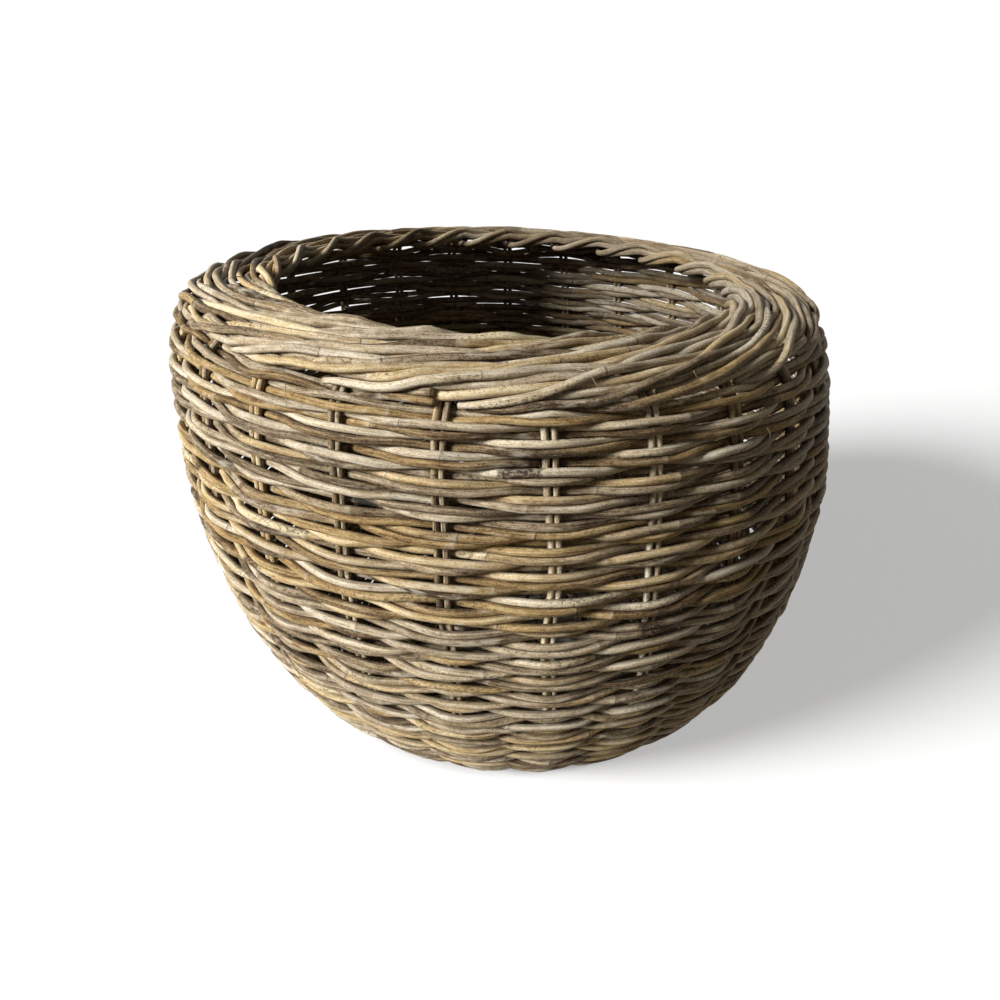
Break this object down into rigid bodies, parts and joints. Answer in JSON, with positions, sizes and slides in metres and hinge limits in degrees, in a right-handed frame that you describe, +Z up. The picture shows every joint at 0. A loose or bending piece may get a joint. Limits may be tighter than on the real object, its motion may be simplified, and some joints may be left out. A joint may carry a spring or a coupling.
{
  "type": "round woven rattan basket",
  "caption": "Large round open basket of woven grey rattan, with a bellied wall, a rolled-in border and a flat woven base.",
  "frame": {"origin": "centre of the basket's outline, on the floor under its base", "axes": "+Z up out of the mouth, -Y towards the front of the picture, +X to its right"},
  "size_m": [0.6491, 0.6485, 0.464],
  "materials": {
    "wall_cane": "weathered grey-brown unpeeled cane, satin",
    "stake_cane": "weathered honey-grey unpeeled cane, satin",
    "base_cane": "weathered grey-brown cane, matte"
  },
  "bodies": {
    "root": {"wall_weaver_01": "wall_cane", "wall_weaver_02": "wall_cane", "wall_weaver_03": "wall_cane", "wall_weaver_04": "wall_cane", "wall_weaver_05": "wall_cane", "wall_weaver_06": "wall_cane", "wall_weaver_07": "wall_cane", "wall_weaver_08": "wall_cane", "wall_weaver_09": "wall_cane", "wall_weaver_10": "wall_cane", "wall_weaver_11": "wall_cane", "wall_weaver_12": "wall_cane", "wall_weaver_13": "wall_cane", "wall_weaver_14": "wall_cane", "stake_pair_01": "stake_cane", "stake_pair_02": "stake_cane", "stake_pair_03": "stake_cane", "stake_pair_04": "stake_cane", "stake_pair_05": "stake_cane", "stake_pair_06": "stake_cane", "stake_pair_07": "stake_cane", "stake_pair_08": "stake_cane", "stake_pair_09": "stake_cane", "stake_pair_10": "stake_cane", "stake_pair_11": "stake_cane", "stake_pair_12": "stake_cane", "stake_pair_13": "stake_cane", "stake_pair_14": "stake_cane", "stake_pair_15": "stake_cane", "stake_pair_16": "stake_cane", "stake_pair_17": "stake_cane", "stake_pair_18": "stake_cane", "stake_pair_19": "stake_cane", "stake_pair_20": "stake_cane", "stake_pair_21": "stake_cane", "stake_pair_22": "stake_cane", "stake_pair_23": "stake_cane", "stake_pair_24": "stake_cane", "stake_pair_25": "stake_cane", "base_stick_01": "base_cane", "base_stick_02": "base_cane", "base_stick_03": "base_cane", "base_stick_04": "base_cane", "base_stick_05": "base_cane", "base_stick_06": "base_cane", "base_stick_07": "base_cane", "base_stick_08": "base_cane", "base_stick_09": "base_cane", "base_stick_10": "base_cane", "base_stick_11": "base_cane", "base_stick_12": "base_cane", "base_half_stick": "base_cane", "foot_wale": "base_cane", "base_wale": "base_cane", "base_weaver": "base_cane", "base_tie": "base_cane"}
  },
  "joints": []
}
